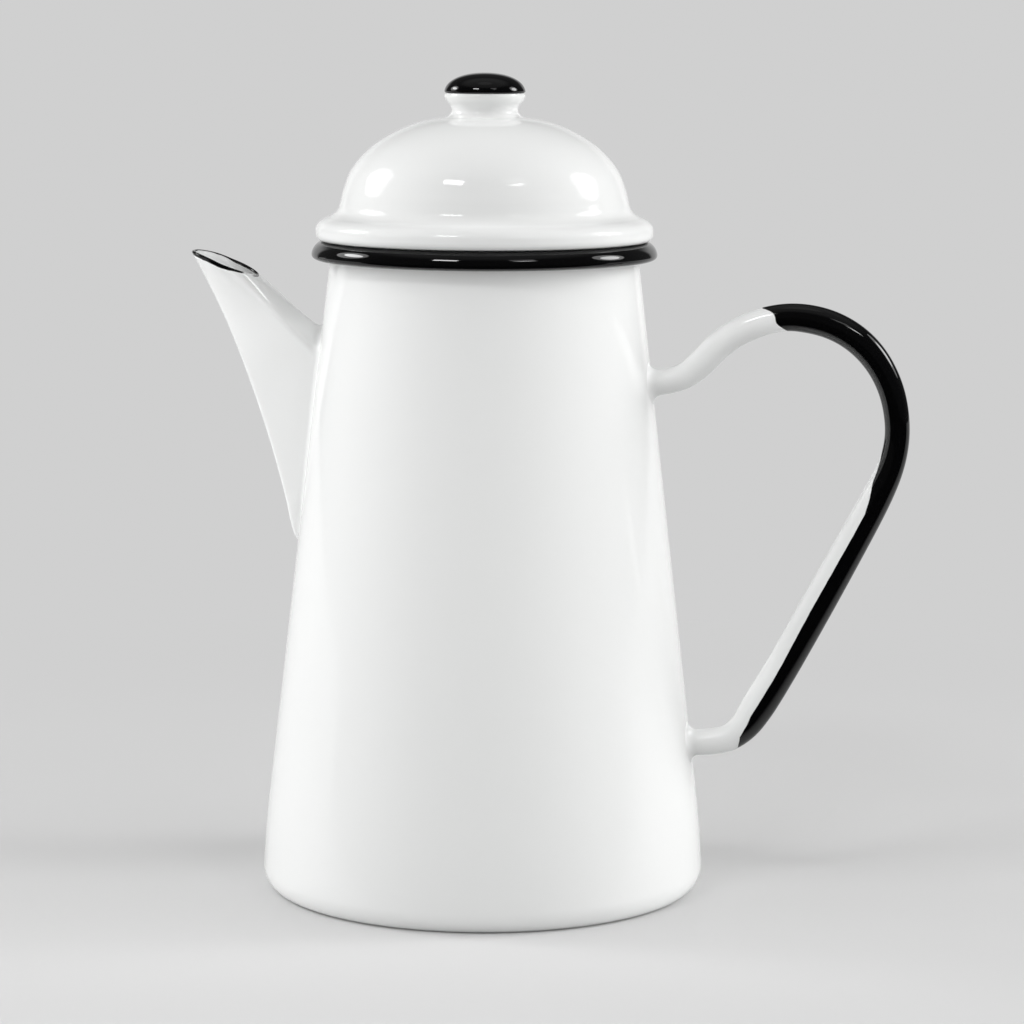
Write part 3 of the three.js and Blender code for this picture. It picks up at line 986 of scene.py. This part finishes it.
@dataclass(frozen=True)
class Handle:
    """A bent tube with flared feet, its grip dipped in black.

    Slopes are the tube's rise for each metre outwards at its feet. Levels across the tube run
    from -1 on the loop's inside to 1 on its outside. Near the feet its white carries painted
    light on the tube's upper side and painted shade underneath.
    from -1 on the loop's inside to 1 on its outside.
    """

    pot: PotBody
    reach: float = 0.1158
    upper_height: float = 0.1444
    lower_height: float = 0.0426
    upper_slope: float = 0.18
    lower_slope: float = 0.02
    radius: float = 0.0041
    flare: float = 0.0024
    flare_shares: tuple[float, ...] = (0.0, 0.03, 0.08, 0.15, 0.25, 0.4, 0.6, 0.8, 1.0)
    clearance: float = 0.001025
    sink: float = 0.00004
    swell_scale: float = 0.01
    grip_start: float = 0.0409
    grip_end: float = 0.204
    grip_blur: float = 0.00012
    border_blur: float = 0.02
    border_levels: Pair = (3.0, 1.5)
    ragged_size: float = 0.0035
    ragged_width: float = 0.0018
    ragged_levels: float = 30.0
    lean: Pair = (0.0022, 0.0009)
    lit_side_span: Pair = (-1.1, 0.7)
    middle_blur: float = 0.01
    stub_light_span: Pair = (0.05, 0.075)
    around: int = 48
    per_span: int = 5

    def line(self) -> Line:
        """The centre line as x, height and swell."""
        points = []
        for out, up, swell in HANDLE_LINE:
            height = self.lower_height + (self.upper_height - self.lower_height) * up
            wall = self.pot.radius(height)
            points.append(Vector((wall + (self.reach - wall) * out, height, swell * self.swell_scale)))
        return [Vector((p.x, p.y, p.z / self.swell_scale)) for p in curve_through(points, self.per_span)]

    def turns(self) -> list[Pair]:
        """Cosine and sine of each point's angle round a ring."""
        return [(math.cos(angle), math.sin(angle)) for angle in circle(self.around)]

    def ring(self, centre: Vector, ahead: Vector) -> Line:
        """An oval ring square to the centre line, its first point on the loop's outside.

        Args:
            centre: Its x, height and swell.
            ahead: Way of the line there.

        Returns:
            The ring.
        """
        along = Vector((ahead.x, 0, ahead.y)).normalized()
        depth, breadth = self.radius * centre.z, self.radius * min(centre.z, 1.0)
        outer, side = Vector((-along.z, 0, along.x)) * depth, Vector((0, breadth, 0))
        return [Vector((centre.x, 0, centre.y)) + outer * cos + side * sin for cos, sin in self.turns()]

    def foot(self, height: float, slope: float, outer: int, swell: float) -> list[Line]:
        """Rings of a foot from the wall out to the plain tube.

        Args:
            height: Height of the tube's centre on the wall.
            slope: Rise of the tube for each metre outwards.
            outer: 1 where the loop's outside is above the tube, -1 where it is below.
            swell: Share of the tube's radius there.

        Returns:
            The rings, the one on the wall first.
        """
        rings = []
        for share in self.flare_shares:
            away = self.flare * share
            spread = self.flare - math.sqrt(self.flare**2 - (self.flare - away) ** 2)
            reach = self.radius * swell + spread
            shift = Vector((away if share else -self.sink, 0, 0))
            rings.append([
                self.pot.surface(reach * sin, height + slope * away + outer * reach * cos) + shift
                for cos, sin in self.turns()
            ])
        return rings

    def rings(self) -> list[Line]:
        """All rings from the upper foot to the lower one."""
        line = self.line()
        gap = self.flare + self.clearance
        tube = [
            self.ring(here, ahead - behind)
            for behind, here, ahead in zip(line, line[1:], line[2:])
            if here.x > self.pot.radius(here.y) + gap
        ]
        upper = self.foot(self.upper_height, self.upper_slope, 1, line[0].z)
        lower = self.foot(self.lower_height, self.lower_slope, -1, line[-1].z)
        return [*upper, *tube, *lower[::-1]]

    def mark(self, handle: Object) -> None:
        """Stores how far along and how far outwards each point of the handle lies.

        Args:
            handle: The piece, whose mesh gets the attributes grip_along and grip_outer.
        """
        line = self.line()
        places = [Vector((p.x, 0, p.y)) for p in line]
        travelled = [0.0]
        for here, there in zip(places, places[1:]):
            travelled.append(travelled[-1] + (there - here).length)
        along, outer = [], []
        for vertex in handle.data.vertices:
            flat = Vector((vertex.co.x, 0, vertex.co.z))
            nearest = min(range(1, len(places) - 1), key=lambda i: (places[i] - flat).length_squared)
            tangent = (places[nearest + 1] - places[nearest - 1]).normalized()
            offset = flat - places[nearest]
            along.append(travelled[nearest] + offset.dot(tangent))
            outwards = Vector((-tangent.z, 0, tangent.x))
            outer.append(offset.dot(outwards) / (self.radius * line[nearest].z))
        Bench.mark(handle, "grip_along", along)
        Bench.mark(handle, "grip_outer", outer)

    def finish(self) -> Material:
        """White enamel with the grip's black coat, its edges left by the brush, and painted light and shade:
        near the feet the white is paler on top and darker underneath.
        """
        tree = Enamel("enamel_handle")
        along, outer = tree.attribute("grip_along"), tree.attribute("grip_outer")
        middle, blur = 0.5 * self.grip_end, self.grip_blur
        ragged = tree.noise(self.ragged_size, 3.0, 31.0) * self.ragged_width
        lean = outer * outer * outer * self.lean[0] + outer * self.lean[1]
        start = (along + lean + ragged).step(self.grip_start - blur, self.grip_start + blur)
        border = tree.add("ShaderNodeFloatCurve", {"Value": along * (1 / self.grip_end)})
        curve = border.mapping.curves[0]
        for place in GRIP_BORDER[1:-1]:
            curve.points.new(*place)
        curve.points[0].location, curve.points[-1].location = GRIP_BORDER[0], GRIP_BORDER[-1]
        for point in curve.points:
            point.handle_type = "VECTOR"
        border.mapping.update()
        scale, shift = self.border_levels
        level = Value(tree, border.outputs["Value"]) * scale - shift
        side = outer + ragged * self.ragged_levels - level
        black = start * side.step(-self.border_blur, self.border_blur)
        # Painted light and shade: how far a point of the white faces upwards, from the underside to the top.
        lit_side = outer * ((middle - along).step(-self.middle_blur, self.middle_blur) * 2.0 - 1.0)
        strip, under, over = (tree.coat(coat) for coat in (LIT_HANDLE_WHITE, SHADED_UNDER_WHITE, LIT_STUB_WHITE))
        # Near the feet the white runs from painted shade underneath to painted light on top; the middle
        # stretch keeps the paler handle white.
        stub = tree.mix(lit_side.step(*self.lit_side_span), under, over)
        return tree.masked(tree.mix(abs(along - middle).step(*self.stub_light_span), strip, stub), black)

    def build(self) -> None:
        """Makes the handle."""
        handle = Bench.loft("bent_handle", self.rings(), False)
        self.mark(handle)
        nodes = ("handle_tube", "handle_upper_foot", "handle_lower_foot")
        finish_piece(handle, self.finish(), "pot", Slot.BLACK, *nodes)


@dataclass(frozen=True)
class Lid:
    """Dome, hollow and rolled brim, the collar under them, and the button knob."""

    sheet: float = 0.0012
    crown: float = 0.2184
    collar_top: float = 0.1926
    collar_neck: float = 0.0391
    collar_reach: float = 0.0411
    collar_bend: float = 0.1836
    collar_foot: float = 0.1706
    collar_sheet: float = 0.001
    neck_foot: float = 0.2187
    neck_core: float = 0.003
    cap_foot: float = 0.2247
    cap_radius: float = 0.01135
    cap_inset: float = 0.00045
    cap_edge: float = 0.01095
    cap_height: float = 0.0057
    cap_fullness: float = 2.15
    cap_steps: int = 24
    rivet_drop: float = 0.0015
    rivet_head: Pair = (0.0036, 0.0013)
    rivet_radius: float = 0.002
    washer_drop: float = 0.0003
    washer_sheet: float = 0.0009
    washer_radii: Pair = (0.0023, 0.006)
    washer_soft: float = 0.0002
    steps: int = 192

    def dome_profile(self) -> Line:
        """Closed profile of the lid's sheet with its curled brim."""
        outside = outline(
            (0.003, self.crown), (0.0075, self.crown - 0.00008), (0.0125, 0.21785), (0.0184, 0.2167),
            (0.0257, 0.21365), (0.0322, 0.2093), (0.03725, 0.2035), (0.0396, 0.1976), (0.0403, 0.1946),
            (0.0408, 0.1929), (0.0418, 0.1915), (0.0433, 0.1905), (0.0449, 0.1898), (0.04635, 0.1888),
            (0.0472, 0.1875), (0.0473, 0.1862), (0.0471, 0.1849), (0.0463, 0.18395), (0.0448, 0.1838),
        )
        inside = outline(
            (0.0448, 0.1838), (0.0431, 0.1840), (0.0421, 0.1850), (0.0417, 0.1864), (0.0413, 0.1880),
            (0.0406, 0.1896), (0.0397, 0.1910), (0.0392, 0.1926), (0.0390, 0.1946), (0.0384, 0.1976),
            (0.0361, 0.2030), (0.0313, 0.2084), (0.0250, 0.2125), (0.0179, 0.2155), (0.0122, 0.2167),
            (0.0075, 0.2171), (0.003, 0.21715),
        )
        return [*outside, *inside[1:], outside[0]]

    def collar_profile(self) -> Line:
        """Closed profile of the skirt, with a soft bend and a rounded foot."""
        reach, neck, sheet = self.collar_reach, self.collar_neck, self.collar_sheet
        bend, foot = self.collar_bend, self.collar_foot
        outer = outline(
            (neck, self.collar_top), (neck + 0.0001, self.collar_top - 0.003), (neck + 0.0007, bend + 0.0035),
            (reach - 0.0002, bend + 0.0008), (reach, bend - 0.0015), (reach - 0.0002, foot + 0.003),
            (reach - 0.0003, foot + sheet),
        )
        inner = [point - Vector((sheet, 0)) for point in reversed(outer)]
        half = 0.5 * sheet
        edge = arc(Vector((reach - 0.0003 - half, foot + half)), (half, half), (0, -180), 10)
        return [*outer[:-1], *edge, *inner[1:], outer[0]]

    def neck_profile(self) -> Line:
        """Closed profile of the knob's waisted neck, from the dome up."""
        side = outline(*((radius, self.neck_foot + rise) for radius, rise in (
            (0.0122, -0.0009), (0.0109, -0.00055), (0.0098, 0.0001), (0.0093, 0.001), (0.0093, 0.0018),
            (0.0098, 0.0028), (0.01065, 0.0038), (0.0112, 0.0048), (0.01132, 0.0054),
        )))
        low = Vector((self.neck_core, side[0].y))
        cap = corners((self.cap_radius - self.cap_inset, self.cap_foot), (self.neck_core, self.cap_foot))
        return [low, *side, *cap, low]

    def cap_profile(self) -> Line:
        """Profile of the knob's button."""
        under = corners((0, self.cap_foot), (self.cap_edge, self.cap_foot))
        size = (self.cap_radius, self.cap_height)
        return [*under, *arc(under[0], size, (0, 90), self.cap_steps, self.cap_fullness)[1:]]

    def rivet_profile(self) -> Line:
        """Profile of the rivet inside the lid, with its domed head."""
        tail, radius = self.crown - self.sheet - self.rivet_drop, self.rivet_radius
        shaft = corners((radius, tail), (radius, self.neck_foot), (0, self.neck_foot))
        return [*arc(Vector((0, tail)), self.rivet_head, (-90, 0), 8), *shaft]

    def washer_profile(self) -> Line:
        """Closed profile of the washer, with softened edges."""
        top = self.crown - self.sheet - self.washer_drop
        low, soft = top - self.washer_sheet, self.washer_soft
        hole, rim = self.washer_radii
        return corners(
            (hole, low), (rim - soft, low), (rim, low + soft), (rim, top - soft), (rim - soft, top),
            (hole, top), (hole, low),
        )

    def build(self, white: Material, black: Material, steel: Material) -> None:
        """Makes the lid, its collar and its knob.

        Args:
            white: Finish of dome, collar and neck.
            black: Finish of the button.
            steel: Finish of rivet and washer.
        """
        for name, profile, material, slot, node in (
            ("lid_skin", self.dome_profile(), white, Slot.WHITE, "lid_dome"),
            ("lid_skirt", self.collar_profile(), white, Slot.WHITE, "lid_collar"),
            ("knob_waist", self.neck_profile(), white, Slot.WHITE, "knob_neck"),
            ("knob_button", self.cap_profile(), black, Slot.BLACK, "knob_cap"),
            ("lid_rivet", self.rivet_profile(), steel, Slot.STEEL, "knob_rivet"),
            ("lid_washer", self.washer_profile(), steel, Slot.STEEL, "knob_washer"),
        ):
            finish_piece(Bench.turn(name, profile, self.steps), material, "lid", slot, node)


@dataclass(frozen=True)
class Lamp:
    """A soft lamp aimed at the pot.

    Angles are in degrees: the bearing runs from the camera's side to its right, and the
    elevation from the level of the target.
    """

    name: str
    bearing: float
    elevation: float
    distance: float
    width: float
    height: float
    radiance: float
    round_face: bool
    spread: float = 180.0
    target: tuple[float, float, float] = (0.0, 0.0, 0.19)

    def add(self, bearing_zero: float) -> None:
        """Adds the lamp.

        Args:
            bearing_zero: Angle of the camera's side round the pot, from -Y towards +X, in degrees.
        """
        bearing = math.radians(self.bearing + bearing_zero)
        elevation = math.radians(self.elevation)
        level = math.cos(elevation)
        way = Vector((math.sin(bearing) * level, -math.cos(bearing) * level, math.sin(elevation)))
        lamp = bpy.data.lights.new(self.name, "AREA")
        lamp.shape = "ELLIPSE" if self.round_face else "RECTANGLE"
        lamp.size, lamp.size_y = self.width, self.height
        area = self.width * self.height * (0.25 * math.pi if self.round_face else 1.0)
        lamp.energy = self.radiance * area * math.pi
        if self.spread < 180.0:
            half = math.radians(0.5 * self.spread)
            lamp.spread = 2 * half
            lamp.energy *= 1.0 - half / math.tan(half)
        lantern = bpy.data.objects.new(self.name, lamp)
        lantern.location = Vector(self.target) + self.distance * way
        lantern.rotation_euler = way.to_track_quat("Z", "Y").to_euler()
        lantern.visible_camera = False
        bpy.context.scene.collection.objects.link(lantern)


LAMPS = (
    Lamp("left_soft", -108, 27, 1.0, 0.50, 0.46, 2.1, True),
    Lamp("left_core", -106, 28, 0.99, 0.32, 0.20, 9.5, True),
    Lamp("right_soft", 98, 27, 1.0, 0.44, 0.50, 2.4, True),
    Lamp("right_core", 98, 26, 0.99, 0.28, 0.28, 7.2, True),
    Lamp("front_window", -30, 42.5, 1.2, 0.30, 0.14, 16.0, False),
    Lamp("front_right", 30, 46, 1.2, 0.30, 0.14, 1.3, False),
    Lamp("handle_beam", 31, 45, 1.0, 0.55, 0.06, 20.0, False, 18.0, (0.130, 0.0, 0.11)),
    Lamp("spout_beam", 134, 42.5, 0.5, 0.05, 0.05, 8.0, True, 9.0, (-0.062, -0.008, 0.166)),
)


@dataclass(frozen=True)
class RoomLight:
    """The room's own soft light, by direction, in the camera's frame."""

    level: float = 0.03
    top: float = 0.85
    left: float = 3.45
    right: float = 3.85
    side_focus: float = 0.75
    back: float = 0.60
    backdrop: float = 0.63
    gloss_front: float = 0.03
    gloss_side: float = 0.06
    gloss_high: float = 0.17
    gloss_top: float = 0.17
    side_heights: Pair = (0.85, 0.5)
    back_ways: Pair = (0.35, 0.5)
    back_heights: Pair = (0.8, 0.6)
    front_ways: Pair = (-0.3, 0.3)
    high_heights: Pair = (0.7, 0.9)
    top_heights: Pair = (0.97, 0.99)
    backdrop_slant: float = 1.3
    backdrop_edge: Pair = (0.0, 0.2)
    backdrop_heights: Pair = (0.45, 0.2)

    def build(self, turn: float) -> None:
        """Makes the world.

        Args:
            turn: The camera's turn round the pot, in radians.
        """
        world = bpy.data.worlds.new("studio_room")
        bpy.context.scene.world = world
        sheet = Sheet(world)
        sockets = {"Vector": sheet.add("ShaderNodeTexCoord", {}).outputs["Generated"], "Angle": -turn}
        turned = sheet.add("ShaderNodeVectorRotate", sockets, rotation_type="Z_AXIS")
        way = sheet.split(turned.outputs["Vector"])
        camera, glossy, through = sheet.rays()
        direct = camera + through
        soft = self.soft(way) * (1.0 - glossy) * (1.0 - direct)
        strength = soft + self.gloss(way) * glossy + direct * self.backdrop
        sheet.feed(sheet.nodes["Background"], {"Color": (1.0, 1.0, 1.0, 1.0), "Strength": strength})

    def soft(self, way: tuple[Value, ...]) -> Value:
        """Light that falls on matt surfaces.

        Args:
            way: Parts to the right, away from the camera and up of the way to the light.

        Returns:
            Its strength.
        """
        x, y, z = way
        up, right, left = z.most(0.0), x.most(0.0), x.least(0.0)
        focus = abs(x) * self.side_focus + (1.0 - self.side_focus)
        sides = (right * right * self.right + left * left * self.left) * focus
        room = up * up * up * up * self.top + sides * z.step(*self.side_heights) + self.level
        behind = y.step(*self.back_ways) * z.step(*self.back_heights)
        return room * (1.0 - behind) + behind * self.back

    def gloss(self, way: tuple[Value, ...]) -> Value:
        """Light that glossy surfaces mirror.

        Args:
            way: Parts to the right, away from the camera and up of the way to the light.

        Returns:
            Its strength.
        """
        x, y, z = way
        side = y.step(*self.front_ways) * (self.gloss_side - self.gloss_front)
        high = z.step(*self.high_heights) * self.gloss_high + z.step(*self.top_heights) * self.gloss_top
        middle = (y - abs(x) * self.backdrop_slant).step(*self.backdrop_edge)
        backdrop = middle * z.step(*self.backdrop_heights)
        return (side + high + self.gloss_front) * (1.0 - backdrop) + backdrop * self.backdrop


@dataclass(frozen=True)
class Studio:
    """Seamless floor and backdrop, lamps, room light and camera.

    Angles are in radians. The greys paint light and shade into the paper: far in front, where
    all rays but the camera's see it, in front of the pot, round it and behind it. Its spans are
    depths behind the pot's axis, but the fade span is a distance from it.
    """

    turn: float = math.radians(9.0)
    camera_distance: float = 1.0
    camera_height: float = 0.2478
    camera_pitch: float = 0.140
    camera_yaw: float = 0.008
    camera_roll: float = 0.004
    lens: float = 125.38
    sensor: float = 36.0
    floor_radius: float = 3.0
    background: float = 0.63
    light_and_shade_greys: tuple[float, ...] = (0.8, 0.608, 0.65, 0.55)
    front_span: Pair = (-0.05, -0.14)
    outer_span: Pair = (-0.17, -0.25)
    back_span: Pair = (-0.01, 0.05)
    dark_reflection_span: Pair = (-0.02, -0.1)
    fade_span: Pair = (0.2, 0.45)
    wave_size: float = 0.3
    wave_depth: float = 0.01
    roughness: float = 0.9
    sheen: float = 0.1

    def floor(self) -> None:
        """Makes the floor, a wide disc."""
        Bench.clear()
        bpy.ops.mesh.primitive_circle_add(vertices=96, radius=self.floor_radius, fill_type="NGON")
        Bench.edit()
        bpy.ops.mesh.inset(thickness=0.5 * self.floor_radius)
        bpy.ops.object.mode_set(mode="OBJECT")
        floor = bpy.context.object
        floor.name = "studio_floor"
        floor.data.materials.append(self.paper())

    def paper(self) -> Material:
        """Pale matt paper with painted light and shade, greyer behind the pot, that fades into the plain
        background and shows black far in front in reflections, a painted reflection.
        """
        tree = FinishTree("pale_paper")
        x, y, _ = tree.split(tree.place())
        wave = tree.noise(self.wave_size, 1.0) * self.wave_depth
        depth = y * math.cos(self.turn) - x * math.sin(self.turn) + wave
        outer, front, near, far = ((grey, grey, grey, 1.0) for grey in self.light_and_shade_greys)
        camera, glossy, through = tree.rays()
        # Painted light and shade: the paper's grey changes with depth, palest round the pot and darkest
        # behind it.
        edge = tree.mix(depth.step(*self.front_span), near, front)
        # Painted light: rays other than the camera's see the paper far in front much paler.
        ahead = tree.mix(depth.step(*self.outer_span) * (1.0 - camera), edge, outer)
        colour = tree.mix(depth.step(*self.back_span), ahead, far)
        tree.dress({"Base Color": colour, "Roughness": self.roughness, "Specular IOR Level": self.sheen})
        away = tree.math("SQRT", x * x + y * y).step(*self.fade_span)
        # Painted reflection: glossy rays see the paper far in front as black.
        ends = depth.step(*self.dark_reflection_span) * glossy
        plain = tree.add("ShaderNodeEmission", {"Strength": (1.0 - ends) * self.background})
        faded = (away * (camera + glossy + through)).most(ends).least(1.0)
        sockets = {0: faded, 1: tree.surface.outputs["BSDF"], 2: plain.outputs[0]}
        blend = tree.add("ShaderNodeMixShader", sockets)
        tree.feed(tree.nodes["Material Output"], {"Surface": blend.outputs[0]})
        tree.material.cycles.emission_sampling = "NONE"
        return tree.material

    def camera(self) -> None:
        """Places the camera as the photograph was taken."""
        lens = bpy.data.cameras.new("camera")
        lens.sensor_width, lens.lens = self.sensor, self.lens
        camera = bpy.data.objects.new("camera", lens)
        turn, yaw, roll = (
            Matrix.Rotation(angle, 4, "Z") for angle in (self.turn, -self.camera_yaw, self.camera_roll)
        )
        place = Matrix.Translation((0, -self.camera_distance, self.camera_height))
        pitch = Matrix.Rotation(0.5 * math.pi - self.camera_pitch, 4, "X")
        camera.matrix_world = turn @ place @ yaw @ pitch @ roll
        bpy.context.scene.collection.objects.link(camera)
        bpy.context.scene.camera = camera

    def build(self) -> None:
        """Sets up the whole studio."""
        self.camera()
        self.floor()
        RoomLight().build(self.turn)
        for lamp in LAMPS:
            lamp.add(math.degrees(self.turn))
        bpy.context.scene.view_settings.view_transform = "Standard"


def main() -> None:
    """Builds every piece in order."""
    logging.basicConfig(level=logging.INFO)
    Studio().build()
    black = Enamel("enamel_black").plain(BLACK_COAT)
    steel = SteelFinish().material()
    pot = PotBody()
    pot.build(Enamel("enamel_white").plain(BODY_WHITE), black)
    Spout(pot).build()
    Handle(pot).build()
    Lid().build(Enamel("enamel_lid").plain(SHADED_LID_WHITE), black, steel)
    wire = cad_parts["rim_wire"]
    wire.data.materials.clear()
    wire.data.materials.append(steel)


if __name__ == "__main__":
    main()
